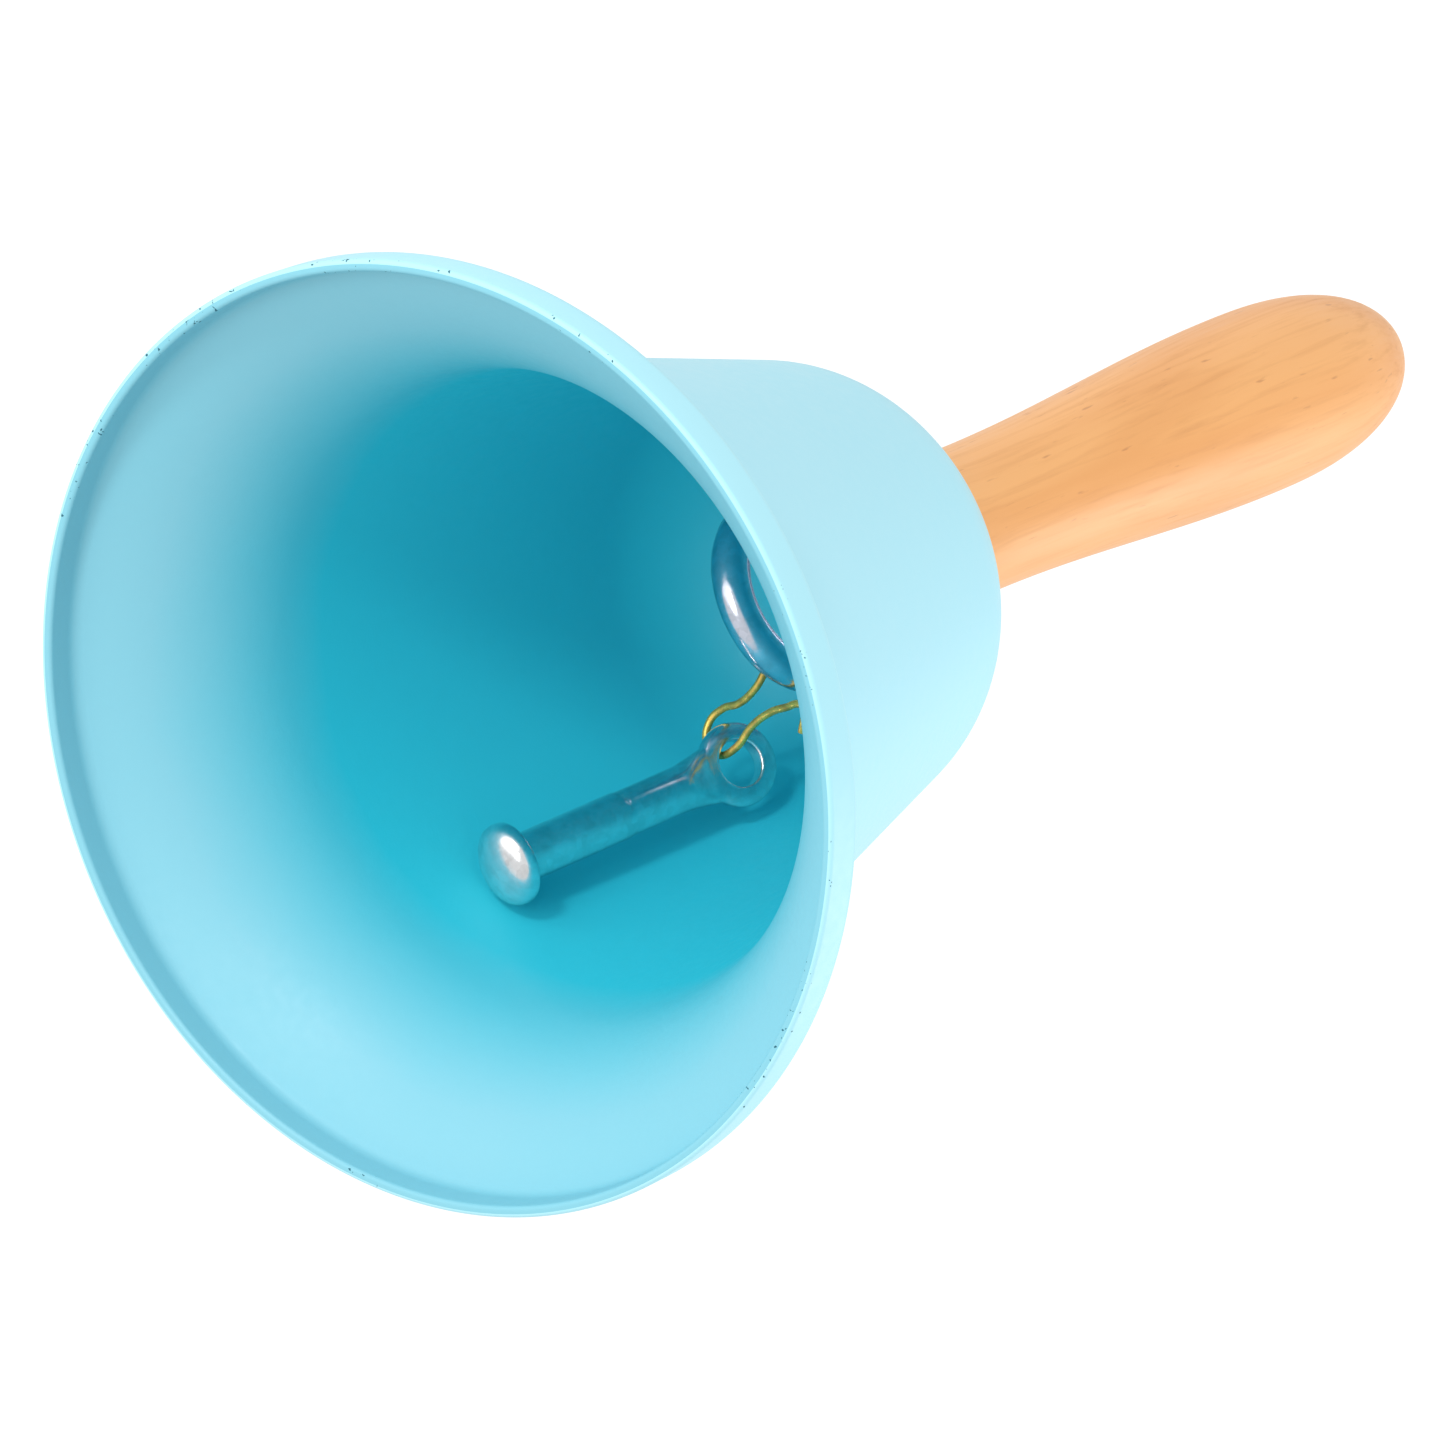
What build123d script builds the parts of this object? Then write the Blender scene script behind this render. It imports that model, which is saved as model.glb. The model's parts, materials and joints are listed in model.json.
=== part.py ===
from build123d import *
import math
import os

# A small handbell: a painted sheet-metal bell on a turned wooden handle, with a steel clapper
# hung by a bent brass wire from the ring of a screw eye.
# Millimetres. The origin is the centre of the mouth, and +Z runs up the bell to the handle's tip.

# ---- Driving dimensions ----
mouth_radius = 39.0
bell_height = 62.0
total_height = 151.0
wall = 1.0

ring_wire_radius = 1.65
ring_radius = 7.1
link_wire_radius = 0.35
clapper_shank_radius = 2.1

# ---- Bell cup ----
lip_height = 3.6
lip_crease_radius = 1.2
flare_top_radius = 27.8     # where the flare runs into the straight flank
flare_top_height = 17.0
flank_angle = 12.5          # degrees between the flank and the bell's axis
shoulder_radius = 13.0
crown_hole_radius = 2.0

# ---- Screw eye and washer ----
washer_radius = 6.0
washer_thickness = 0.8
washer_hole_radius = 1.9
ring_gap = 0.05             # between the ring's top and the washer
shank_length = 24.0         # from the crown's top to the screw's point
shank_plain_length = 4.0
screw_root_radius = 1.2
thread_depth = 0.45
thread_pitch = 1.5
thread_turns = 9
thread_half_width = 0.48    # at the thread's foot
thread_bite = 0.1           # how far the thread's foot goes into the core
point_length = 3.0

# ---- Handle ----
handle_base_radius = 7.4
handle_base_chamfer = 0.8
handle_neck_radius = 6.7
handle_neck_height = 78.0
handle_belly_radius = 8.6
handle_belly_height = 128.0
handle_tip_fullness = 0.62  # 0.552 would make the tip a quarter ellipse, and more is blunter
pilot_clearance = 0.04
shank_clearance = 0.1

# ---- Clapper ----
clapper_hole_centre = (11.5, 9.5, 47.6)
clapper_lean = 19.5         # degrees between the clapper and the bell's axis
clapper_reach = 24.9        # from the hole's centre to the middle of the head
tab_radius = 3.7
tab_hole_radius = 2.1
tab_thickness = 1.6
tab_edge_radius = 0.35
tab_root_depth = 3.0        # from the hole's centre down to where the tab's flat starts
tab_root_half_width = 2.3
forged_length = 6.5         # where the round shank starts to flatten into the tab
head_radius = 3.6
head_rim = 0.75
head_dome = 1.75
head_bevel = 0.3

# ---- Wire link ----
link_gap = 0.2              # between the wire and the ring
band_turn = 2.1             # the loop's radius where it goes round the edge of the tab
tail_length = 2.2
tail_bend_radius = 1.3

crown_underside = bell_height - wall
ring_height = crown_underside - washer_thickness - ring_gap - ring_wire_radius - ring_radius


# ---- Bell cup: spun from sheet, with a lip, a wide flare, a straight flank and a round shoulder ----
flank_slope = math.radians(flank_angle)
up_the_flank = Vector(-math.sin(flank_slope), math.cos(flank_slope))
# The shoulder starts where an arc of its radius touches the flank and ends level with the crown.
shoulder_height = bell_height - shoulder_radius * (1 - math.sin(flank_slope))
flank_foot = Vector(flare_top_radius, flare_top_height)
flank_head = flank_foot + up_the_flank * (shoulder_height - flare_top_height) / math.cos(flank_slope)
crown_edge = Vector(flank_head.X - shoulder_radius * math.cos(flank_slope), bell_height)

with BuildPart() as bell_cup:
    with BuildSketch(Plane.XZ) as cup_section:
        with BuildLine():
            Line((mouth_radius, 0), (mouth_radius, lip_height))
            TangentArc(flank_foot, (mouth_radius, lip_height), tangent=-up_the_flank)
            Line(flank_foot, flank_head)
            TangentArc(flank_head, crown_edge, tangent=up_the_flank)
            Line(crown_edge, (crown_hole_radius, bell_height))
            offset(amount=wall, side=Side.LEFT, closed=True)
        make_face()
        crease = cup_section.vertices().filter_by(
            lambda v: lip_height / 2 < v.Z < lip_height + wall and v.X > flare_top_radius
        )
        fillet(crease, lip_crease_radius)
    revolve(axis=Axis.Z)
bell_cup.part.label = "bell_cup"

# ---- Screw eye: a round wire ring, closed against its own threaded shank ----
shank_foot = ring_height + ring_radius
thread_start = bell_height + shank_plain_length
shank_top = bell_height + shank_length
thread_root_top = shank_top - point_length

with BuildPart() as screw_eye:
    with BuildSketch(Plane.XY.offset(ring_height)):
        with Locations((ring_radius, 0)):
            Circle(ring_wire_radius)
    revolve(axis=Axis((0, 0, ring_height), (0, 1, 0)))
    with BuildSketch(Plane.XZ):
        with BuildLine():
            Polyline(
                (0, shank_foot),
                (ring_wire_radius, shank_foot),
                (ring_wire_radius, thread_start - thread_depth),
                (screw_root_radius, thread_start),
                (screw_root_radius, thread_root_top),
                (0, shank_top),
                close=True,
            )
        make_face()
    revolve(axis=Axis.Z)
    with BuildLine(Plane.XY.offset(thread_start + thread_pitch / 2)) as thread_path:
        Helix(pitch=thread_pitch, height=thread_pitch * thread_turns, radius=screw_root_radius)
    thread_foot = thread_path.line @ 0
    with BuildSketch(Plane(origin=thread_foot, x_dir=(1, 0, 0), z_dir=thread_path.line % 0)):
        with BuildLine():
            Polyline(
                (-thread_bite, -thread_half_width),
                (thread_depth, 0),
                (-thread_bite, thread_half_width),
                close=True,
            )
        make_face()
    sweep(path=thread_path.line, is_frenet=True)
screw_eye.part.label = "screw_eye"

# ---- Crown washer: spreads the screw's pull under the crown ----
with BuildPart() as crown_washer:
    with BuildSketch(Plane.XY.offset(crown_underside - washer_thickness)):
        Circle(washer_radius)
        Circle(washer_hole_radius, mode=Mode.SUBTRACT)
    extrude(amount=washer_thickness)
crown_washer.part.label = "crown_washer"

# ---- Handle: turned beech, waisted above the bell and full under the palm ----
belly_to_tip = total_height - handle_belly_height

with BuildPart() as handle:
    with BuildSketch(Plane.XZ):
        with BuildLine():
            Line((0, bell_height), (handle_base_radius - handle_base_chamfer, bell_height))
            Line(
                (handle_base_radius - handle_base_chamfer, bell_height),
                (handle_base_radius, bell_height + handle_base_chamfer),
            )
            Spline(
                (handle_base_radius, bell_height + handle_base_chamfer),
                (handle_neck_radius, handle_neck_height),
                (handle_belly_radius, handle_belly_height),
                tangents=[(-0.1, 1), (0, 1)],
            )
            Bezier(
                (handle_belly_radius, handle_belly_height),
                (handle_belly_radius, handle_belly_height + handle_tip_fullness * belly_to_tip),
                (handle_tip_fullness * handle_belly_radius, total_height),
                (0, total_height),
            )
            Line((0, total_height), (0, bell_height))
        make_face()
    revolve(axis=Axis.Z)
    with BuildSketch(Plane.XY.offset(bell_height)):
        Circle(screw_root_radius + pilot_clearance)
    extrude(amount=shank_length + pilot_clearance, mode=Mode.SUBTRACT)
    with BuildSketch(Plane.XY.offset(bell_height)):
        Circle(ring_wire_radius + shank_clearance)
    extrude(amount=shank_plain_length, mode=Mode.SUBTRACT)
handle.part.label = "handle"

# ---- Clapper: a steel pin with a domed head, its other end forged flat and pierced ----
# Its frame has the hole's axis along Y and the shank along Z, with the head below the hole.
lean = math.radians(clapper_lean)
clapper_frame = Plane(
    origin=clapper_hole_centre, x_dir=(1, 0, 0), z_dir=(0, -math.sin(lean), math.cos(lean))
)
hole_axis = clapper_frame.y_dir
band_width = tab_radius - tab_hole_radius
head_back = -clapper_reach + (head_rim + head_dome) / 2

with BuildPart() as clapper:
    with BuildSketch(Plane(clapper_frame.origin, clapper_frame.x_dir, -hole_axis)):
        with BuildLine():
            Polyline(
                (0, -forged_length),
                (clapper_shank_radius, -forged_length),
                (clapper_shank_radius, head_back),
                (head_radius - head_bevel, head_back),
                (head_radius, head_back - head_bevel),
                (head_radius, head_back - head_rim),
            )
            EllipticalCenterArc(
                (0, head_back - head_rim), head_radius, head_dome, start_angle=270, arc_size=90
            )
            Line((0, head_back - head_rim - head_dome), (0, -forged_length))
        make_face()
    revolve(axis=Axis(clapper_frame.origin, clapper_frame.z_dir))
    with BuildSketch(clapper_frame.offset(-forged_length)):
        Circle(clapper_shank_radius)
    with BuildSketch(clapper_frame.offset(-tab_root_depth)):
        Ellipse(tab_root_half_width, tab_thickness / 2)
    loft()
    with BuildSketch(Plane(clapper_frame.origin, clapper_frame.x_dir, clapper_frame.z_dir)):
        with Locations((tab_hole_radius + band_width / 2, 0)):
            RectangleRounded(band_width, tab_thickness, tab_edge_radius)
    revolve(axis=Axis(clapper_frame.origin, hole_axis))
clapper.part.label = "clapper"

# ---- Wire link: one brass wire bent into a loop through the ring and the clapper's hole ----
# It lies in the plane square to the ring's wire where the two cross, which also passes through
# the middle of the band of steel between the clapper's hole and the tab's edge.
band_centre = Vector(*clapper_hole_centre) - clapper_frame.x_dir * (tab_hole_radius + band_width / 2)
ring_centre = Vector(0, 0, ring_height)
ring_to_band = band_centre - ring_centre
crossing = Vector(ring_to_band.X, 0, ring_to_band.Z).normalized()
link_pivot = ring_centre + crossing * ring_radius
link_axis = Vector(-crossing.Z, 0, crossing.X)
link_frame = Plane(origin=link_pivot, x_dir=band_centre - link_pivot, z_dir=link_axis)
link_length = (band_centre - link_pivot).length
ring_turn = ring_wire_radius + link_wire_radius + link_gap
strand_angle = math.acos((ring_turn - band_turn) / link_length)
strand_cos = math.cos(strand_angle)
strand_sin = math.sin(strand_angle)

with BuildPart() as wire_link:
    with BuildLine(link_frame) as loop:
        near_a = (ring_turn * strand_cos, ring_turn * strand_sin)
        near_b = (ring_turn * strand_cos, -ring_turn * strand_sin)
        far_a = (link_length + band_turn * strand_cos, band_turn * strand_sin)
        far_b = (link_length + band_turn * strand_cos, -band_turn * strand_sin)
        Line(near_a, far_a)
        ThreePointArc(far_a, (link_length + band_turn, 0), far_b)
        Line(far_b, near_b)
        ThreePointArc(near_b, (-ring_turn, 0), near_a)
    strand = loop.edges().filter_by(GeomType.LINE)[0]
    with BuildSketch(Plane(origin=strand @ 0.5, z_dir=strand % 0.5)):
        Circle(link_wire_radius)
    sweep(path=loop.wire())
    # The wire's two ends spring away from the loop beside the ring.
    for side, end_turn in ((1, 70), (-1, 40)):
        outward = (-strand_sin, side * strand_cos)
        start = (ring_turn * strand_cos, side * ring_turn * strand_sin)
        stub_end = (start[0] + tail_length * outward[0], start[1] + tail_length * outward[1])
        with BuildLine(link_frame) as tail:
            Line(start, stub_end)
            JernArc(stub_end, outward, tail_bend_radius, -side * end_turn)
        with BuildSketch(Plane(origin=tail.line @ 0, z_dir=tail.line % 0)):
            Circle(link_wire_radius)
        sweep(path=tail.wire())
wire_link.part.label = "wire_link"

os.makedirs("parts", exist_ok=True)
export_step(bell_cup.part, "parts/bell_cup.step")
export_step(screw_eye.part, "parts/screw_eye.step")
export_step(crown_washer.part, "parts/crown_washer.step")
export_step(handle.part, "parts/handle.step")
export_step(clapper.part, "parts/clapper.step")
export_step(wire_link.part, "parts/wire_link.step")

for joint_name, point, direction in (
    ("link_swing", link_pivot, link_axis),
    ("clapper_swing", Vector(*clapper_hole_centre), hole_axis),
):
    print(joint_name, [round(v / 1000, 6) for v in point], [round(v, 6) for v in direction])
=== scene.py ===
import bpy
import json
import math
from mathutils import Matrix, Vector


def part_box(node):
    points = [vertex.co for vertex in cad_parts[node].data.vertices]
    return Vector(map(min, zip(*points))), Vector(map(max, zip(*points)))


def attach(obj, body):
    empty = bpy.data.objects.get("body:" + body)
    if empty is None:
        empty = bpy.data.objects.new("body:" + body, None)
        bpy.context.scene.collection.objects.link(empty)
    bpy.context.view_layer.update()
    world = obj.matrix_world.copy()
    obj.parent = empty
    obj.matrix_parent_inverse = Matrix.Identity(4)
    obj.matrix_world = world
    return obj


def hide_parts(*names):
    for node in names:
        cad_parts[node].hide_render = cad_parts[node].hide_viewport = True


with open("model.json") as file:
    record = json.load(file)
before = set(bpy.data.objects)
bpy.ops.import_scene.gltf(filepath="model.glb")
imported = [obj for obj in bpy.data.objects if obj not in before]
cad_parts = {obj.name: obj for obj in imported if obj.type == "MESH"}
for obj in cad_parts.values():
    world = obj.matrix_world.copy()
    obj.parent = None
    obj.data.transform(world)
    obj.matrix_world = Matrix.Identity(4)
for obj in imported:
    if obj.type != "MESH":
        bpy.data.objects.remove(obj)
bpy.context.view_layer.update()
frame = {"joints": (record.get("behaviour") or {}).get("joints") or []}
MM = 0.001
EDGE_STEPS = 5  # along a small rounded edge

# ---------------------------------------------------------------- small helpers


def add_mesh(name, verts, faces):
    """A mesh object from points in metres and lists of corner numbers."""
    mesh = bpy.data.meshes.new(name)
    mesh.from_pydata(verts, [], faces)
    mesh.validate()
    for polygon in mesh.polygons:
        polygon.use_smooth = True
    piece = bpy.data.objects.new(name, mesh)
    bpy.context.collection.objects.link(piece)
    return piece


def arc(centre, radius, start, end, steps):
    """Points of a circle's arc, from one angle to another, both ends included."""
    points = []
    for k in range(steps + 1):
        angle = start + (end - start) * k / steps
        points.append((centre[0] + radius * math.cos(angle), centre[1] + radius * math.sin(angle)))
    return points


def soft_corner(before, corner, after, steps):
    """Points of a curve that rounds a corner off, from the point before it to the point after it."""
    hull = (before, corner, after)
    points = []
    for k in range(steps + 1):
        t = k / steps
        weights = ((1 - t) ** 2, 2 * t * (1 - t), t**2)
        points.append(tuple(sum(w * p[i] for w, p in zip(weights, hull)) for i in (0, 1)))
    return points


def ease(t):
    """A number that goes smoothly from 0 to 1 as t does, level at both ends."""
    t = min(max(t, 0.0), 1.0)
    return (1 - math.cos(math.pi * t)) / 2


def grid_faces(rings, closed=False):
    """Faces between rows of corner numbers. A row of one number is a pole."""
    faces = []
    followers = rings[1:] + rings[:1] if closed else rings[1:]
    for lower, upper in zip(rings, followers):
        count = max(len(lower), len(upper))
        for k in range(count):
            following = (k + 1) % count
            if len(lower) == 1:
                faces.append((lower[0], upper[following], upper[k]))
            elif len(upper) == 1:
                faces.append((lower[k], lower[following], upper[0]))
            else:
                faces.append((lower[k], lower[following], upper[following], upper[k]))
    return faces


def turned(name, profile, segments, closed=False, shape=None):
    """A piece turned about Z from (radius, height) pairs. Radius 0 ends it on the axis.

    shape(radius, height, angle) may change the radius round the piece.
    """
    verts = []
    rings = []
    for radius, height in profile:
        if radius == 0:
            rings.append([len(verts)])
            verts.append((0.0, 0.0, height))
            continue
        first = len(verts)
        for k in range(segments):
            angle = 2 * math.pi * k / segments
            r = shape(radius, height, angle) if shape else radius
            verts.append((r * math.cos(angle), r * math.sin(angle), height))
        rings.append(list(range(first, first + segments)))
    return add_mesh(name, verts, grid_faces(rings, closed))


def wire(name, points, radius):
    """Round wire bent smoothly through points, as a mesh with flat ends."""
    curve = bpy.data.curves.new(name + "_path", "CURVE")
    curve.dimensions = "3D"
    curve.resolution_u = 16
    curve.bevel_depth = radius
    curve.bevel_resolution = 6
    curve.use_fill_caps = True
    spline = curve.splines.new("BEZIER")
    spline.bezier_points.add(len(points) - 1)
    for knot, point in zip(spline.bezier_points, points):
        knot.co = point
        knot.handle_left_type = "AUTO"
        knot.handle_right_type = "AUTO"
    path = bpy.data.objects.new(name + "_path", curve)
    piece = bpy.data.objects.new(name, bpy.data.meshes.new_from_object(path))
    bpy.data.objects.remove(path)
    bpy.data.curves.remove(curve)
    bpy.context.collection.objects.link(piece)
    for polygon in piece.data.polygons:
        polygon.use_smooth = len(polygon.vertices) == 4
    return piece


def joined(name, pieces):
    """One piece made of several meshes."""
    verts = []
    faces = []
    smooth = []
    for piece in pieces:
        first = len(verts)
        verts += [piece.matrix_world @ v.co for v in piece.data.vertices]
        faces += [[first + k for k in polygon.vertices] for polygon in piece.data.polygons]
        smooth += [polygon.use_smooth for polygon in piece.data.polygons]
        bpy.data.objects.remove(piece)
    whole = add_mesh(name, verts, faces)
    whole.data.polygons.foreach_set("use_smooth", smooth)
    return whole


def finish_piece(piece, body, slot, node, *materials):
    """Gives a piece its finish and its body, and lets it stand for a CAD node. The slot is not used."""
    for material in materials:
        piece.data.materials.append(material)
    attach(piece, body)
    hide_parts(node)


def joint(name):
    """A joint's place, in metres, and its axis."""
    found = next(j for j in frame["joints"] if j["name"] == name)
    return Vector(found["pos_m"]), Vector(found["axis"]).normalized()


# ---------------------------------------------------------------- node materials
# Scales of noise are in features per metre, because every piece is placed in metres.


class Nodes:
    """A material's node tree, with short calls for the nodes that these materials share."""

    def __init__(self, name):
        self.material = bpy.data.materials.new(name)
        self.material.use_nodes = True
        self.tree = self.material.node_tree
        self.shader = self.tree.nodes["Principled BSDF"]
        coordinates = self.tree.nodes.new("ShaderNodeTexCoord")
        self.place = coordinates.outputs["Object"]

    def link(self, source, target):
        """Joins an output to an input."""
        self.tree.links.new(source, target)

    def node(self, kind, inputs=(), **settings):
        """A node with its settings, whose inputs take a number, a colour or another node's output."""
        made = self.tree.nodes.new(kind)
        for key, value in settings.items():
            setattr(made, key, value)
        for key, value in dict(inputs).items():
            if isinstance(value, bpy.types.NodeSocket):
                self.link(value, made.inputs[key])
            else:
                made.inputs[key].default_value = value
        return made

    def scaled(self, scale):
        """The place on the piece, stretched along each axis."""
        return self.node("ShaderNodeMapping", {"Vector": self.place, "Scale": scale}).outputs["Vector"]

    def noise(self, vector, scale, detail=3.0, roughness=0.5, distortion=0.0):
        """Smooth noise, near 0.5 on average."""
        inputs = {
            "Vector": vector,
            "Scale": scale,
            "Detail": detail,
            "Roughness": roughness,
            "Distortion": distortion,
        }
        return self.node("ShaderNodeTexNoise", inputs).outputs["Fac"]

    def ramp(self, factor, low, high, from_min=0.0, from_max=1.0):
        """A number between low and high, as the factor goes from from_min to from_max."""
        inputs = {
            "Value": factor,
            "From Min": from_min,
            "From Max": from_max,
            "To Min": low,
            "To Max": high,
        }
        return self.node("ShaderNodeMapRange", inputs).outputs["Result"]

    def mix(self, factor, first, second):
        """A colour between first and second."""
        made = self.tree.nodes.new("ShaderNodeMix")
        made.data_type = "RGBA"
        for key, value in ((0, factor), (6, first), (7, second)):
            if isinstance(value, bpy.types.NodeSocket):
                self.link(value, made.inputs[key])
            else:
                made.inputs[key].default_value = value
        return made.outputs[2]

    def math(self, operation, *values):
        """A number worked out from numbers and outputs."""
        made = self.node("ShaderNodeMath", dict(enumerate(values)), operation=operation)
        return made.outputs["Value"]

    def bump(self, height, strength, distance):
        """Raises the surface's shading by a height, over a distance in metres."""
        inputs = {"Height": height, "Strength": strength, "Distance": distance}
        made = self.node("ShaderNodeBump", inputs)
        self.link(made.outputs["Normal"], self.shader.inputs["Normal"])

    def set(self, **values):
        """Sets constant values on the shader's own sockets."""
        for key, value in values.items():
            self.shader.inputs[key.replace("_", " ")].default_value = value


CHIPPED_PAINT = (0.012, 0.12, 0.17, 1)
PITTED_BAND = 0.3 * MM  # the lip's lowest edge, where the paint has pin-holes


def paint_marks(n, height):
    """1 in the pin-holes along the lip, 0.6 in the few specks that lie anywhere, and 0 elsewhere."""
    edge = n.math("LESS_THAN", height, PITTED_BAND)
    holes = n.math("GREATER_THAN", n.noise(n.place, scale=2100.0, detail=2.0), 0.665)
    worn = n.math("GREATER_THAN", n.noise(n.place, scale=55.0, detail=1.0), 0.5)
    pits = n.math("MULTIPLY", edge, n.math("MULTIPLY", worn, holes))
    cells = n.node("ShaderNodeTexVoronoi", {"Vector": n.place, "Scale": 75.0})
    specks = n.math("LESS_THAN", cells.outputs["Distance"], 0.013)
    return n.math("MAXIMUM", pits, n.math("MULTIPLY", specks, 0.6))


def paint_material(name, lip_colour, upper_colour, roughness):
    """Satin blue enamel: uneven in tone, with orange peel, a few specks and pin-holes along the lip's edge.

    The colour turns deeper further up the bell: inside, this is painted shade for the deep wall, darker and
    more saturated where little light reaches.
    """
    n = Nodes(name)
    cloud = n.noise(n.place, scale=45.0, detail=5.0, roughness=0.55)
    height = n.node("ShaderNodeSeparateXYZ", {0: n.place}).outputs["Z"]
    drifted = n.math("ADD", height, n.math("MULTIPLY", cloud, 3 * MM))
    # Share of the upper colour by height, not a coat's thickness: painted depth shade on the inside.
    thickness = n.ramp(drifted, low=0.0, high=1.0, from_min=8 * MM, from_max=22 * MM)
    shade = n.math("ADD", n.math("MULTIPLY", thickness, 0.9), n.math("MULTIPLY", cloud, 0.1))
    marks = paint_marks(n, height)
    colour = n.mix(marks, n.mix(shade, lip_colour, upper_colour), CHIPPED_PAINT)
    n.link(colour, n.shader.inputs["Base Color"])
    peel = n.noise(n.place, scale=1100.0, detail=2.0, roughness=0.4)
    fine = n.noise(n.place, scale=3600.0, detail=2.0)
    skin = n.math("ADD", n.math("MULTIPLY", peel, 0.7), n.math("MULTIPLY", fine, 0.3))
    haze = n.math("MULTIPLY", cloud, peel)
    gloss = n.ramp(haze, low=roughness, high=roughness + 0.16, from_min=0.1, from_max=0.4)
    n.link(gloss, n.shader.inputs["Roughness"])
    n.bump(n.math("SUBTRACT", skin, n.math("MULTIPLY", marks, 0.8)), strength=0.35, distance=0.06 * MM)
    n.set(Coat_Weight=0.1, Coat_Roughness=0.35, Specular_IOR_Level=0.35)
    return n.material


def wood_material():
    """Pale turned beech under lacquer: rings drawn out along the handle, fibres and short dark flecks."""
    n = Nodes("turned_beech")
    log = {"Vector": n.place, "Rotation": (0.07, 0.05, 0.0), "Scale": (1.0, 1.0, 0.1)}
    waves = {
        "Vector": n.node("ShaderNodeMapping", log).outputs["Vector"],
        "Scale": 95.0,
        "Distortion": 5.0,
        "Detail": 3.0,
        "Detail Scale": 1.6,
    }
    rings = n.node("ShaderNodeTexWave", waves, wave_type="RINGS", rings_direction="Z").outputs["Fac"]
    streak = n.noise(n.scaled((1.0, 1.0, 0.05)), scale=160.0, detail=4.0, roughness=0.55, distortion=0.5)
    fibre = n.noise(n.scaled((1.0, 1.0, 0.03)), scale=1500.0, detail=4.0, roughness=0.6)
    fleck = n.noise(n.scaled((1.0, 1.0, 0.12)), scale=1900.0, detail=2.0)
    pale = (0.88, 0.43, 0.14, 1)
    warm = (0.79, 0.345, 0.095, 1)
    dark = (0.50, 0.18, 0.05, 1)
    colour = n.mix(n.ramp(rings, low=0.0, high=0.55, from_min=0.2, from_max=0.9), pale, warm)
    colour = n.mix(n.ramp(streak, low=0.0, high=0.75, from_min=0.48, from_max=0.78), colour, warm)
    colour = n.mix(n.ramp(fibre, low=0.0, high=0.3, from_min=0.5, from_max=0.8), colour, dark)
    colour = n.mix(n.ramp(fleck, low=0.0, high=0.55, from_min=0.68, from_max=0.76), colour, dark)
    n.link(colour, n.shader.inputs["Base Color"])
    n.link(n.ramp(fibre, low=0.36, high=0.52, from_min=0.3, from_max=0.7), n.shader.inputs["Roughness"])
    n.bump(n.math("ADD", fibre, n.math("MULTIPLY", fleck, -0.6)), strength=0.25, distance=0.06 * MM)
    n.set(Coat_Weight=0.25, Coat_Roughness=0.3)
    return n.material


def steel_material(name, tint, roughness):
    """Bright zinc plate on steel: spangled, faintly scuffed and duller in patches."""
    n = Nodes(name)
    mottle = n.noise(n.place, scale=650.0, detail=4.0, roughness=0.6)
    crystals = n.node("ShaderNodeTexVoronoi", {"Vector": n.place, "Scale": 1400.0}).outputs["Color"]
    spangle = n.node("ShaderNodeSeparateColor", {0: crystals}).outputs["Red"]
    tone = n.math("ADD", n.math("MULTIPLY", mottle, 0.75), n.math("MULTIPLY", spangle, 0.25))
    dull = tuple(0.78 * channel for channel in tint[:3]) + (1,)
    colour = n.mix(n.ramp(tone, low=0.0, high=1.0, from_min=0.35, from_max=0.8), tint, dull)
    n.link(colour, n.shader.inputs["Base Color"])
    scuff = n.noise(n.scaled((1.0, 1.0, 0.3)), scale=3200.0)
    gloss = n.ramp(scuff, low=roughness, high=roughness + 0.12, from_min=0.3, from_max=0.75)
    n.link(gloss, n.shader.inputs["Roughness"])
    n.bump(n.math("ADD", mottle, n.math("MULTIPLY", scuff, 0.2)), strength=0.05, distance=0.03 * MM)
    n.set(Metallic=1.0)
    return n.material


def brass_material():
    """Drawn brass wire, bright in places and tarnished in patches."""
    n = Nodes("brass_wire")
    bright = (0.93, 0.60, 0.13, 1)
    tarnished = (0.52, 0.33, 0.08, 1)
    patch = n.noise(n.place, scale=900.0, detail=4.0)
    colour = n.mix(n.ramp(patch, low=0.0, high=1.0, from_min=0.4, from_max=0.68), bright, tarnished)
    n.link(colour, n.shader.inputs["Base Color"])
    n.link(n.ramp(patch, low=0.2, high=0.42, from_min=0.35, from_max=0.7), n.shader.inputs["Roughness"])
    n.bump(n.noise(n.place, scale=6000.0, detail=2.0), strength=0.2, distance=0.02 * MM)
    n.set(Metallic=0.7)
    return n.material


# One blue paint in two copies: lighter outside as painted light, darker and more saturated inside as painted
# shade.
OUTSIDE_LIT_LOW, OUTSIDE_LIT_HIGH = (0.42, 0.79, 0.89, 1), (0.41, 0.77, 0.88, 1)
INSIDE_SHADED_LOW, INSIDE_DEEP_SHADE = (0.235, 0.565, 0.675, 1), (0.02, 0.57, 0.70, 1)
enamel_outside_painted_light = paint_material("blue_enamel_outside", OUTSIDE_LIT_LOW, OUTSIDE_LIT_HIGH, roughness=0.38)
enamel_inside_painted_shade = paint_material("blue_enamel_inside", INSIDE_SHADED_LOW, INSIDE_DEEP_SHADE, roughness=0.4)
beech = wood_material()
zinc = steel_material("zinc_plate", tint=(0.66, 0.70, 0.80, 1), roughness=0.14)
clapper_steel = steel_material("clapper_steel", tint=(0.82, 0.83, 0.84, 1), roughness=0.15)
brass = brass_material()

# ---------------------------------------------------------------- bell cup
# The same section as the CAD cup's, with its edges rounded as spinning and paint leave them.

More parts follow.
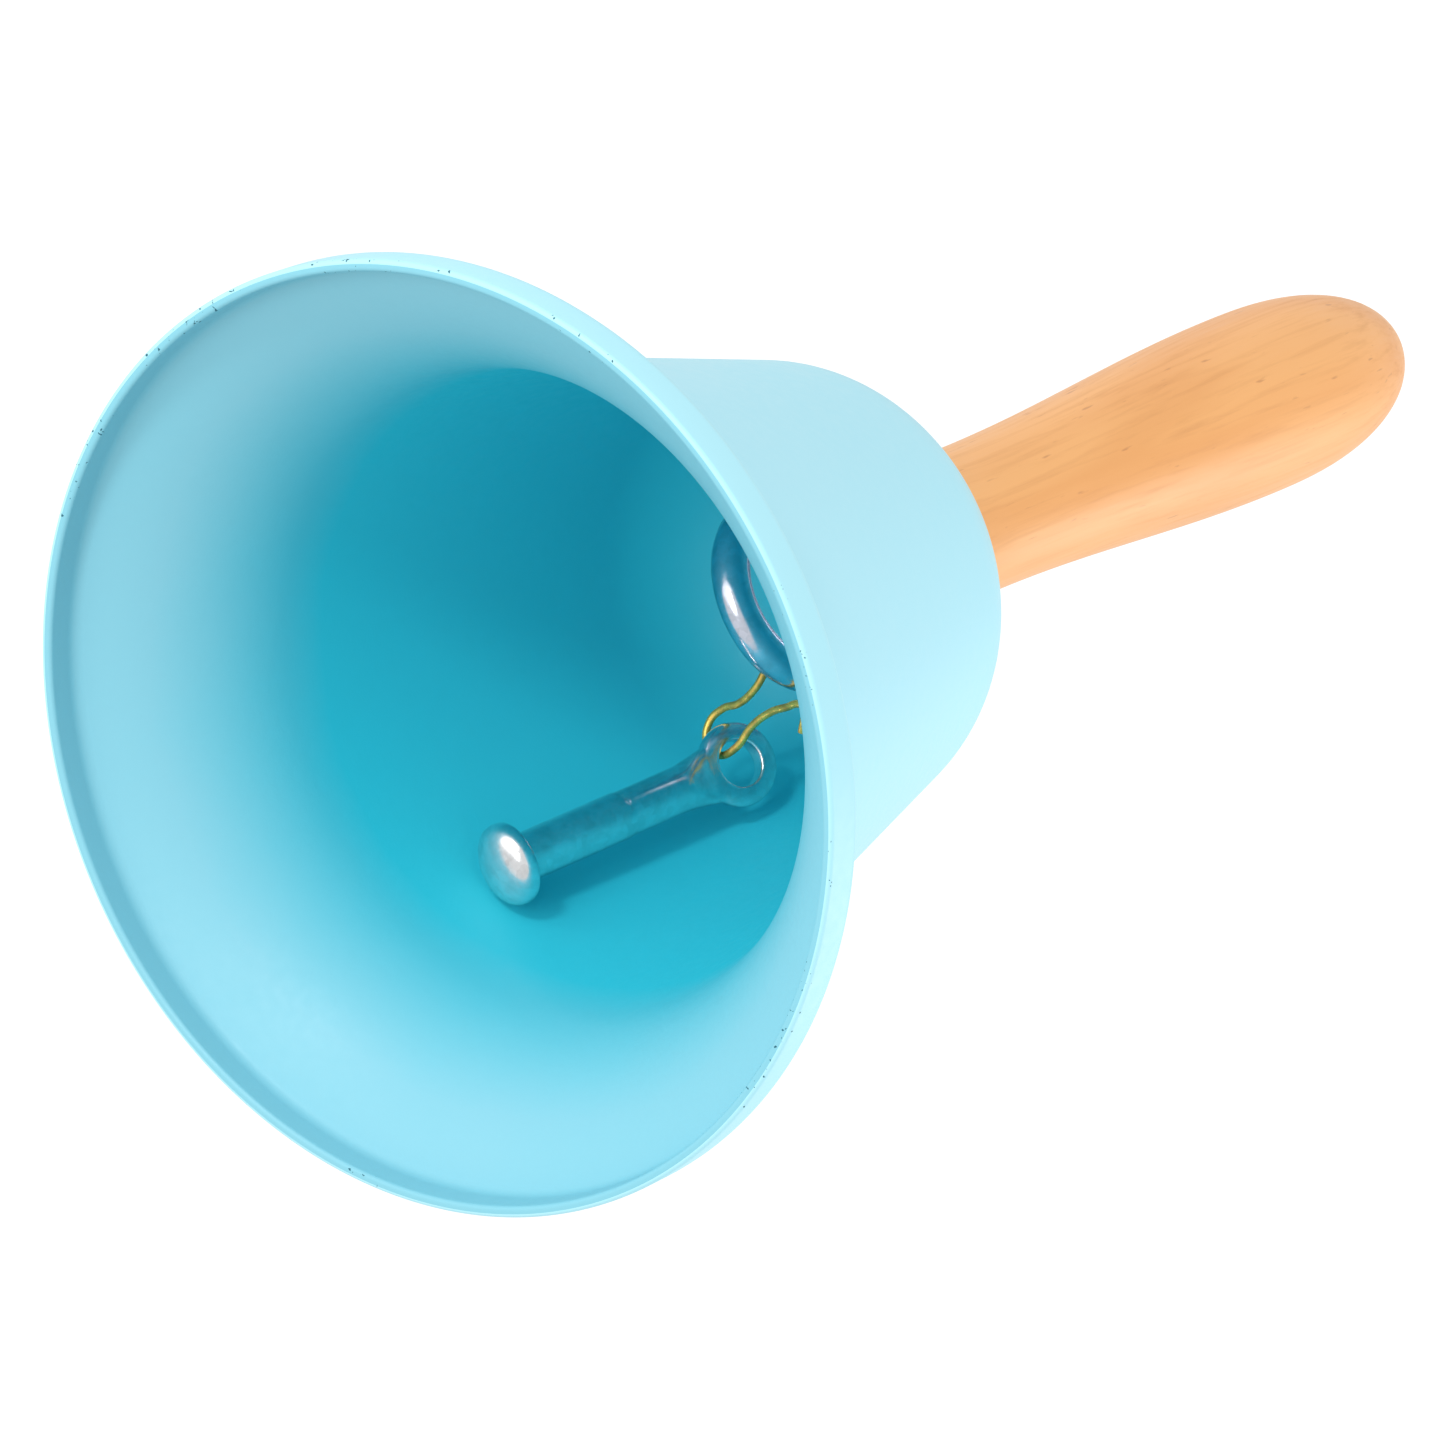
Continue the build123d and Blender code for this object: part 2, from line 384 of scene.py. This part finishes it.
CUP_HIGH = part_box("bell_cup")[1]
MOUTH_RADIUS = CUP_HIGH.x
BELL_HEIGHT = CUP_HIGH.z
WALL = 1.0 * MM
RIM_EDGE = 0.36 * MM
LIP_HEIGHT = 3.6 * MM
CREASE_REACH = 0.8 * MM
FLARE_TOP_RADIUS = 27.8 * MM
FLARE_TOP_HEIGHT = 17.0 * MM
FLANK_ANGLE = math.radians(12.5)
SHOULDER_RADIUS = 13.0 * MM
CROWN_HOLE_RADIUS = 2.0 * MM
CROWN_FLAT = 1.5 * MM  # a narrow flat round the crown's hole
OUT_OF_ROUND = 0.05 * MM
WOBBLE_PHASE = 0.7
WOBBLE_TWIST = 20.0  # radians per metre of height
CUP_SEGMENTS = 288
RIM_STEPS = 6
CREASE_STEPS = 8
FLARE_STEPS = 26
FLANK_STEPS = 16
SHOULDER_STEPS = 24


def flare_circle():
    """The circle that touches the flank at the flare's top and passes through the lip's top."""
    outward = Vector((math.cos(FLANK_ANGLE), math.sin(FLANK_ANGLE)))
    top = Vector((FLARE_TOP_RADIUS, FLARE_TOP_HEIGHT))
    chord = top - Vector((MOUTH_RADIUS, LIP_HEIGHT))
    radius = -chord.length_squared / (2 * chord.dot(outward))
    return top + outward * radius, radius


def cup_surface(inset):
    """One face of the cup's section, from the rim up to the crown's hole, that far inside the outer face."""
    centre, flare_radius = flare_circle()
    radius = flare_radius + inset
    side = MOUTH_RADIUS - inset
    outward = 1 if inset == 0 else -1
    crease_angle = -math.acos((side - centre.x) / radius)
    crease_height = centre.y + radius * math.sin(crease_angle)
    flare_start = crease_angle - CREASE_REACH / radius
    flare_end = FLANK_ANGLE - math.pi
    rim_angle = 0.0 if outward == 1 else -math.pi
    points = arc((side - outward * RIM_EDGE, RIM_EDGE), RIM_EDGE, -math.pi / 2, rim_angle, RIM_STEPS)
    flare = arc(centre, radius, flare_start, flare_end, FLARE_STEPS)
    crease = (side, crease_height)
    points += soft_corner((side, crease_height - CREASE_REACH), crease, flare[0], CREASE_STEPS)
    points += flare[1:]
    shoulder_height = BELL_HEIGHT - SHOULDER_RADIUS * (1 - math.sin(FLANK_ANGLE))
    shoulder_radius = FLARE_TOP_RADIUS - (shoulder_height - FLARE_TOP_HEIGHT) * math.tan(FLANK_ANGLE)
    crown_radius = shoulder_radius - SHOULDER_RADIUS * math.cos(FLANK_ANGLE)
    shoulder_centre = (crown_radius, BELL_HEIGHT - SHOULDER_RADIUS)
    shoulder = arc(shoulder_centre, SHOULDER_RADIUS - inset, FLANK_ANGLE, math.pi / 2, SHOULDER_STEPS)
    foot = points[-1]
    for k in range(1, FLANK_STEPS):
        points.append(tuple(foot[i] + (shoulder[0][i] - foot[i]) * k / FLANK_STEPS for i in (0, 1)))
    points += shoulder
    points.append((CROWN_HOLE_RADIUS + CROWN_FLAT, BELL_HEIGHT - inset))
    points.append((CROWN_HOLE_RADIUS, BELL_HEIGHT - inset))
    return points


def cup_wobble(radius, height, angle):
    """Hand-spun sheet is never quite round, least of all at the mouth."""
    share = (radius / MOUTH_RADIUS) ** 2
    wave = math.cos(2 * angle + WOBBLE_PHASE + WOBBLE_TWIST * height)
    return radius - OUT_OF_ROUND * share * (1 + wave) / 2


def add_bell_cup():
    """The sheet-metal cup in one blue paint, as two copies: lighter outside as painted light, darker inside
    as painted shade.
    """
    outside = cup_surface(0.0)
    inside = cup_surface(WALL)
    cup = turned("painted_cup", outside + inside[::-1], CUP_SEGMENTS, closed=True, shape=cup_wobble)
    finish_piece(cup, "bell", "blue_paint", "bell_cup", enamel_outside_painted_light, enamel_inside_painted_shade)
    for number, polygon in enumerate(cup.data.polygons):
        polygon.material_index = 0 if number // CUP_SEGMENTS < len(outside) else 1


# ---------------------------------------------------------------- handle

HANDLE_LOW, HANDLE_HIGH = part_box("handle")
HANDLE_BASE_RADIUS = 7.4 * MM
HANDLE_NECK_RADIUS = 6.7 * MM
HANDLE_NECK_HEIGHT = 78.0 * MM
HANDLE_BELLY_RADIUS = HANDLE_HIGH.x
HANDLE_BELLY_HEIGHT = 128.0 * MM
HANDLE_EDGE = 0.9 * MM
TIP_POWER = 2.3
PILOT_RADIUS = 1.24 * MM
PILOT_TOP = BELL_HEIGHT + 24.04 * MM
SOCKET_RADIUS = 1.75 * MM
SOCKET_TOP = BELL_HEIGHT + 4.0 * MM
HANDLE_SEGMENTS = 160
HANDLE_EDGE_STEPS = 8
HANDLE_ROWS = 60
TIP_ROWS = 36


def handle_radius(height):
    """The turned outline below the belly: a shallow waist, and then a long swell."""
    if height < HANDLE_NECK_HEIGHT:
        share = ease((height - HANDLE_LOW.z) / (HANDLE_NECK_HEIGHT - HANDLE_LOW.z))
        return HANDLE_BASE_RADIUS + (HANDLE_NECK_RADIUS - HANDLE_BASE_RADIUS) * share
    share = ease((height - HANDLE_NECK_HEIGHT) / (HANDLE_BELLY_HEIGHT - HANDLE_NECK_HEIGHT))
    return HANDLE_NECK_RADIUS + (HANDLE_BELLY_RADIUS - HANDLE_NECK_RADIUS) * share


def add_handle():
    """The turned handle, with the socket and the pilot hole that take the screw."""
    profile = [(0.0, PILOT_TOP), (PILOT_RADIUS, PILOT_TOP), (PILOT_RADIUS, SOCKET_TOP)]
    profile += [(SOCKET_RADIUS, SOCKET_TOP), (SOCKET_RADIUS, HANDLE_LOW.z)]
    start = HANDLE_LOW.z + HANDLE_EDGE
    profile += soft_corner(
        (HANDLE_BASE_RADIUS - HANDLE_EDGE, HANDLE_LOW.z),
        (HANDLE_BASE_RADIUS, HANDLE_LOW.z),
        (handle_radius(start), start),
        HANDLE_EDGE_STEPS,
    )
    for k in range(1, HANDLE_ROWS + 1):
        height = start + (HANDLE_BELLY_HEIGHT - start) * k / HANDLE_ROWS
        profile.append((handle_radius(height), height))
    tip_length = HANDLE_HIGH.z - HANDLE_BELLY_HEIGHT
    for k in range(1, TIP_ROWS):
        angle = math.pi / 2 * k / TIP_ROWS
        height = HANDLE_BELLY_HEIGHT + tip_length * math.sin(angle) ** (2 / TIP_POWER)
        profile.append((HANDLE_BELLY_RADIUS * math.cos(angle) ** (2 / TIP_POWER), height))
    profile.append((0.0, HANDLE_HIGH.z))
    handle = turned("turned_handle", profile, HANDLE_SEGMENTS)
    finish_piece(handle, "bell", "turned_wood", "handle", beech)


# ---------------------------------------------------------------- screw eye and washer

EYE_LOW, EYE_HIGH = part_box("screw_eye")
RING_WIRE_RADIUS = (EYE_HIGH.y - EYE_LOW.y) / 2
RING_RADIUS = (EYE_HIGH.x - EYE_LOW.x) / 2 - RING_WIRE_RADIUS
RING_HEIGHT = EYE_LOW.z + RING_WIRE_RADIUS + RING_RADIUS
RING_GAP = math.radians(17)
RING_KNOTS = 24
SCREW_ROOT = 1.2 * MM
THREAD_DEPTH = 0.45 * MM
THREAD_PITCH = 1.5 * MM
THREAD_START = BELL_HEIGHT + 4.0 * MM
POINT_START = EYE_HIGH.z - 3.0 * MM
RIDGE_HALF_WIDTH = 0.32  # of the thread's pitch
NECK_DEPTH = 1.2 * MM
NECK_SHOULDER = 1.0 * MM
NECK_END_RADIUS = 0.7 * RING_WIRE_RADIUS
THREAD_ROWS = 150
POINT_ROWS = 16
SCREW_SEGMENTS = 40
WASHER_HOLE_RADIUS = 1.9 * MM
WASHER_EDGE = 0.18 * MM
WASHER_SEGMENTS = 96


def thread_shape(radius, height, angle):
    """A V-shaped ridge that winds up the screw, and fades at both ends."""
    turn = height / THREAD_PITCH - angle / (2 * math.pi)
    ridge = max(0.0, 1 - abs(turn % 1 - 0.5) / RIDGE_HALF_WIDTH)
    run_in = ease((height - THREAD_START) / THREAD_PITCH)
    run_out = 1 - ease((height - POINT_START) / (EYE_HIGH.z - POINT_START))
    return radius + THREAD_DEPTH * ridge * run_in * run_out


def add_screw_eye():
    """The ring, bent from wire with its end just short of the shank, and the screw it is bent from."""
    bend = []
    for k in range(RING_KNOTS + 1):
        angle = math.pi / 2 + (2 * math.pi - RING_GAP) * k / RING_KNOTS
        bend.append((RING_RADIUS * math.cos(angle), 0.0, RING_HEIGHT + RING_RADIUS * math.sin(angle)))
    ring = wire("eye_ring", bend, RING_WIRE_RADIUS)
    neck = RING_HEIGHT + RING_RADIUS
    profile = [(0.0, neck - NECK_DEPTH), (NECK_END_RADIUS, neck - NECK_SHOULDER)]
    profile += [(RING_WIRE_RADIUS, neck), (RING_WIRE_RADIUS, THREAD_START - THREAD_DEPTH)]
    profile.append((SCREW_ROOT, THREAD_START))
    for k in range(1, THREAD_ROWS + 1):
        profile.append((SCREW_ROOT, THREAD_START + (POINT_START - THREAD_START) * k / THREAD_ROWS))
    for k in range(1, POINT_ROWS):
        t = k / POINT_ROWS
        profile.append((SCREW_ROOT * (1 - t), POINT_START + (EYE_HIGH.z - POINT_START) * t))
    profile.append((0.0, EYE_HIGH.z))
    screw = turned("eye_screw", profile, SCREW_SEGMENTS, shape=thread_shape)
    eye = joined("zinc_screw_eye", [ring, screw])
    finish_piece(eye, "bell", "plated_steel", "screw_eye", zinc)


def add_washer():
    """A thin round washer under the crown, with its lower outer edge rolled over by the press."""
    low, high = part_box("crown_washer")
    hole = WASHER_HOLE_RADIUS
    edge = WASHER_EDGE
    middle = (low.z + high.z) / 2
    profile = [(hole, middle), (hole, low.z + edge), (hole + edge, low.z)]
    profile += soft_corner((high.x - 2 * edge, low.z), (high.x, low.z), (high.x, middle), EDGE_STEPS)
    profile += [(high.x, high.z - edge), (high.x - edge, high.z), (hole + edge, high.z)]
    washer = turned("zinc_washer", profile, WASHER_SEGMENTS, closed=True)
    finish_piece(washer, "bell", "plated_steel", "crown_washer", zinc)


# ---------------------------------------------------------------- clapper
# One steel pin: a mushroom head, a round shank with a forging step, and an end flattened and pierced.
# Along the pin, 0 is the hole's centre and the head lies at negative heights.

HOLE, HOLE_AXIS = joint("clapper_swing")
PIN_SIDE = Vector((1.0, 0.0, 0.0))
PIN_FRAME = Matrix((PIN_SIDE, HOLE_AXIS, PIN_SIDE.cross(HOLE_AXIS))).transposed().to_4x4()
PIN_FRAME.translation = HOLE
PIN_REACH = 24.9 * MM
SHANK_RADIUS = 2.1 * MM
HEAD_RADIUS = 3.6 * MM
HEAD_RIM = 0.75 * MM
HEAD_DOME = 1.75 * MM
HEAD_BACK = -PIN_REACH + (HEAD_RIM + HEAD_DOME) / 2
FORGED_FROM = -12.4 * MM
FORGED_STEP = 0.09 * MM
FORGED_RUN = 0.12 * MM
FLATTENS_FROM = -6.5 * MM
TAB_RADIUS = 3.7 * MM
TAB_HALF_THICKNESS = 0.8 * MM
TAB_HOLE_RADIUS = 2.05 * MM
TAB_NECK = -2.7 * MM
HEAD_EDGE_WIDTH = 0.4 * MM
HEAD_EDGE_HEIGHT = 0.35 * MM
ROOT_WIDTH = 0.5 * MM  # the fillet where the shank leaves the head
ROOT_LIFT = 0.02 * MM
ROOT_HEIGHT = 0.6 * MM
ROUND = 2.0  # powers of the sections' outlines, from round to nearly square
SQUARE = 3.6
WIDENING = 1.5
TIP_THINNING = 0.35
TIP_THINS_FROM = 0.85  # of the tab's radius
LEAST_WIDTH = 0.01 * MM
DOME_STEPS = 14
FLATTEN_STEPS = 24
TAB_STEPS = 32
PIN_SEGMENTS = 56
DRILL_REACH = 3 * MM
DRILL_SEGMENTS = 64
SKIN_VOXEL = 0.1 * MM
SMOOTHINGS = 24


def round_part():
    """The head and the round shank, as (radius, height) pairs."""
    points = []
    for k in range(1, DOME_STEPS + 1):
        angle = math.pi / 2 * k / DOME_STEPS
        points.append((HEAD_RADIUS * math.sin(angle), HEAD_BACK - HEAD_RIM - HEAD_DOME * math.cos(angle)))
    edge_start = (HEAD_RADIUS, HEAD_BACK - HEAD_EDGE_HEIGHT)
    edge_end = (HEAD_RADIUS - HEAD_EDGE_WIDTH, HEAD_BACK)
    points += soft_corner(edge_start, (HEAD_RADIUS, HEAD_BACK), edge_end, EDGE_STEPS)
    root = HEAD_BACK + ROOT_LIFT
    root_end = (SHANK_RADIUS, HEAD_BACK + ROOT_HEIGHT)
    points += soft_corner((SHANK_RADIUS + ROOT_WIDTH, root), (SHANK_RADIUS, root), root_end, EDGE_STEPS)
    points.append((SHANK_RADIUS, FORGED_FROM - FORGED_RUN))
    points.append((SHANK_RADIUS - FORGED_STEP, FORGED_FROM))
    return points


def pin_sections():
    """Sections along the pin: height, half width, half thickness and how square each is."""
    rows = [(height, radius, radius, ROUND) for radius, height in round_part()]
    start = SHANK_RADIUS - FORGED_STEP
    neck_half_width = math.sqrt(TAB_RADIUS**2 - TAB_NECK**2)
    for k in range(FLATTEN_STEPS + 1):
        t = k / FLATTEN_STEPS
        height = FLATTENS_FROM + (TAB_NECK - FLATTENS_FROM) * t
        width = start + (neck_half_width - start) * t**WIDENING
        thickness = start + (TAB_HALF_THICKNESS - start) * ease(t)
        rows.append((height, width, thickness, ROUND + (SQUARE - ROUND) * ease(t)))
    start_angle = math.asin(TAB_NECK / TAB_RADIUS)
    for k in range(1, TAB_STEPS + 1):
        angle = start_angle + (math.pi / 2 - start_angle) * k / TAB_STEPS
        width = max(TAB_RADIUS * math.cos(angle), LEAST_WIDTH)
        thinning = TIP_THINNING * ease((math.sin(angle) - TIP_THINS_FROM) / (1 - TIP_THINS_FROM))
        rows.append((TAB_RADIUS * math.sin(angle), width, TAB_HALF_THICKNESS * (1 - thinning), SQUARE))
    return rows


def pin_body():
    """The pin without its hole: superellipses joined along its length, with a pole at each end."""
    verts = [(0.0, 0.0, HEAD_BACK - HEAD_RIM - HEAD_DOME)]
    rings = [[0]]
    for height, width, thickness, power in pin_sections():
        first = len(verts)
        for k in range(PIN_SEGMENTS):
            angle = 2 * math.pi * k / PIN_SEGMENTS
            x = math.copysign(abs(math.cos(angle)) ** (2 / power), math.cos(angle)) * width
            y = math.copysign(abs(math.sin(angle)) ** (2 / power), math.sin(angle)) * thickness
            verts.append((x, y, height))
        rings.append(list(range(first, first + PIN_SEGMENTS)))
    rings.append([len(verts)])
    verts.append((0.0, 0.0, TAB_RADIUS))
    return add_mesh("steel_clapper", verts, grid_faces(rings))


def add_clapper():
    """The pin with its hole cut, skinned over and softened as forging and plating leave it."""
    pin = pin_body()
    bore = [(0.0, -DRILL_REACH), (TAB_HOLE_RADIUS, -DRILL_REACH)]
    bore += [(TAB_HOLE_RADIUS, DRILL_REACH), (0.0, DRILL_REACH)]
    drill = turned("drill", bore, DRILL_SEGMENTS)
    drill.data.transform(Matrix.Rotation(math.pi / 2, 4, "X"))
    cut = pin.modifiers.new("hole", "BOOLEAN")
    cut.operation = "DIFFERENCE"
    cut.solver = "EXACT"
    cut.object = drill
    skin = pin.modifiers.new("skin", "REMESH")
    skin.mode = "VOXEL"
    skin.voxel_size = SKIN_VOXEL
    skin.use_smooth_shade = True
    soften = pin.modifiers.new("soften", "SMOOTH")
    soften.factor = 0.5
    soften.iterations = SMOOTHINGS
    shown = pin.evaluated_get(bpy.context.evaluated_depsgraph_get())
    mesh = bpy.data.meshes.new_from_object(shown)
    pin.modifiers.clear()
    pin.data = mesh
    bpy.data.objects.remove(drill)
    mesh.transform(PIN_FRAME)
    finish_piece(pin, "clapper", "clapper_steel", "clapper", clapper_steel)


# ---------------------------------------------------------------- wire link
# The link's plane is square to the ring's wire. In it, 0 is the ring's wire, u runs to the steel between
# the clapper's hole and its tab's edge, v goes across, and n is along the ring's wire.

PIVOT, LINK_AXIS = joint("link_swing")
BAND = HOLE - PIN_SIDE * (TAB_HOLE_RADIUS + TAB_RADIUS) / 2
LINK_U = (BAND - PIVOT).normalized()
LINK_V = LINK_AXIS.cross(LINK_U)
LINK_LENGTH = (BAND - PIVOT).length / MM
LINK_WIRE_RADIUS = 0.34 * MM


def add_wire_link():
    """One hand-bent wire: from a loose end round the ring, through the clapper and back to a hooked end.

    Each knot is (u, v, n) in millimetres.
    """
    far = LINK_LENGTH
    knots = [
        (3.1, -3.8, 1.5),
        (2.2, -3.3, 1.1),
        (1.2, -2.7, 0.7),
        (-0.4, -2.25, 0.35),
        (-2.1, -1.0, 0.1),
        (-2.1, 1.0, 0.0),
        (-0.3, 2.3, 0.0),
        (2.4, 2.5, -0.15),
        (4.9, 1.5, -0.1),
        (7.2, 1.45, 0.1),
        (far - 0.7, 2.05, 0.1),
        (far + 1.0, 1.75, 0.0),
        (far + 1.95, 0.3, 0.0),
        (far + 1.25, -1.4, 0.1),
        (far - 0.6, -1.85, 0.1),
        (6.6, -1.2, 0.0),
        (4.2, -1.35, -0.1),
        (2.3, -2.1, -0.35),
        (0.9, -2.7, -0.6),
        (0.1, -3.6, -0.5),
        (0.6, -4.5, -0.2),
        (1.6, -4.6, 0.0),
    ]
    points = [PIVOT + (LINK_U * u + LINK_V * v + LINK_AXIS * n) * MM for u, v, n in knots]
    link = wire("brass_link", points, LINK_WIRE_RADIUS)
    finish_piece(link, "link", "brass_wire", "wire_link", brass)


add_bell_cup()
add_handle()
add_screw_eye()
add_washer()
add_clapper()
add_wire_link()

# ---------------------------------------------------------------- camera, light and floor
# The view is up into the mouth: the camera is below the bell and rolled, so that the handle points to
# the upper right. Distances are in metres, and the lens is in millimetres.

CAMERA_ELEVATION = math.radians(-51.55)
CAMERA_ROLL = math.radians(66.54)
CAMERA_DISTANCE = 0.570
CAMERA_AIM = Vector((0.00775, -0.0059, 0.0287))
CAMERA_LENS = 174.4
LIGHT_AIM = Vector((0.0, 0.0, 0.05))
AMBIENT = 0.85
BACKDROP = 1.1
FLOOR_HALF = 2.0


def camera_axes():
    """The camera's right, up and backward directions."""
    back = Vector((0.0, -math.cos(CAMERA_ELEVATION), math.sin(CAMERA_ELEVATION)))
    level_right = Vector((1.0, 0.0, 0.0))
    level_up = back.cross(level_right)
    right = math.cos(CAMERA_ROLL) * level_right + math.sin(CAMERA_ROLL) * level_up
    up = back.cross(right)
    return right, up, back


def add_camera():
    """The scene's camera, with no depth of field and no shift."""
    data = bpy.data.cameras.new("camera")
    data.lens = CAMERA_LENS
    data.clip_start = 0.01
    camera = bpy.data.objects.new("camera", data)
    bpy.context.collection.objects.link(camera)
    right, up, back = camera_axes()
    turn = Matrix((right, up, back)).transposed().to_4x4()
    camera.matrix_world = Matrix.Translation(CAMERA_AIM + back * CAMERA_DISTANCE) @ turn
    bpy.context.scene.camera = camera


def add_light(name, direction, distance, size, power):
    """A round soft light at some distance from the middle of the bell, facing it."""
    data = bpy.data.lights.new(name, "AREA")
    data.shape = "DISK"
    data.size = size
    data.energy = power
    lamp = bpy.data.objects.new(name, data)
    bpy.context.collection.objects.link(lamp)
    direction = Vector(direction).normalized()
    lamp.location = LIGHT_AIM + direction * distance
    lamp.rotation_euler = direction.to_track_quat("Z", "Y").to_euler()


def add_lights():
    """Four plain lights: a broad one, a small key, one into the mouth and one along the bell's side."""
    right, up, back = camera_axes()
    from_upper_left = back * 0.6 + up * 0.4 - right * 0.75
    from_camera = back * 0.85 + up * 0.5 - right * 0.35
    from_below_mouth = (-0.25, -0.15, -1.0)
    from_lower_right = right * 0.8 - up * 0.5 - back * 0.25
    add_light("soft", from_upper_left, distance=0.8, size=0.9, power=1.3)
    add_light("key", from_camera, distance=0.7, size=0.12, power=1.2)
    add_light("mouth", from_below_mouth, distance=0.7, size=0.3, power=0.8)
    add_light("side", from_lower_right, distance=0.7, size=0.6, power=2.4)


def add_world():
    """A bright plain surround: white behind the bell, and a little dimmer as a light."""
    world = bpy.data.worlds.new("surround")
    world.use_nodes = True
    tree = world.node_tree
    background = tree.nodes["Background"]
    background.inputs["Color"].default_value = (1.0, 1.0, 1.0, 1.0)
    path = tree.nodes.new("ShaderNodeLightPath")
    strength = tree.nodes.new("ShaderNodeMapRange")
    tree.links.new(path.outputs["Is Camera Ray"], strength.inputs["Value"])
    strength.inputs["To Min"].default_value = AMBIENT
    strength.inputs["To Max"].default_value = BACKDROP
    tree.links.new(strength.outputs["Result"], background.inputs["Strength"])
    bpy.context.scene.world = world


def add_floor():
    """A pale floor that shows only from above, so that the camera can look up into the mouth."""
    corners = [(x * FLOOR_HALF, y * FLOOR_HALF, 0.0) for x, y in ((-1, -1), (1, -1), (1, 1), (-1, 1))]
    floor = add_mesh("floor", corners, [(0, 1, 2, 3)])
    n = Nodes("pale_floor")
    n.set(Base_Color=(0.86, 0.87, 0.88, 1), Roughness=0.7)
    clear = n.node("ShaderNodeBsdfTransparent")
    side = n.node("ShaderNodeNewGeometry").outputs["Backfacing"]
    mixed = n.node("ShaderNodeMixShader", {0: side, 1: n.shader.outputs[0], 2: clear.outputs[0]})
    n.link(mixed.outputs[0], n.tree.nodes["Material Output"].inputs["Surface"])
    floor.data.materials.append(n.material)
    floor.visible_diffuse = False
    floor.visible_glossy = False
    floor.visible_transmission = False
    floor.visible_shadow = False


add_camera()
add_lights()
add_world()
add_floor()
bpy.context.scene.view_settings.view_transform = "Standard"
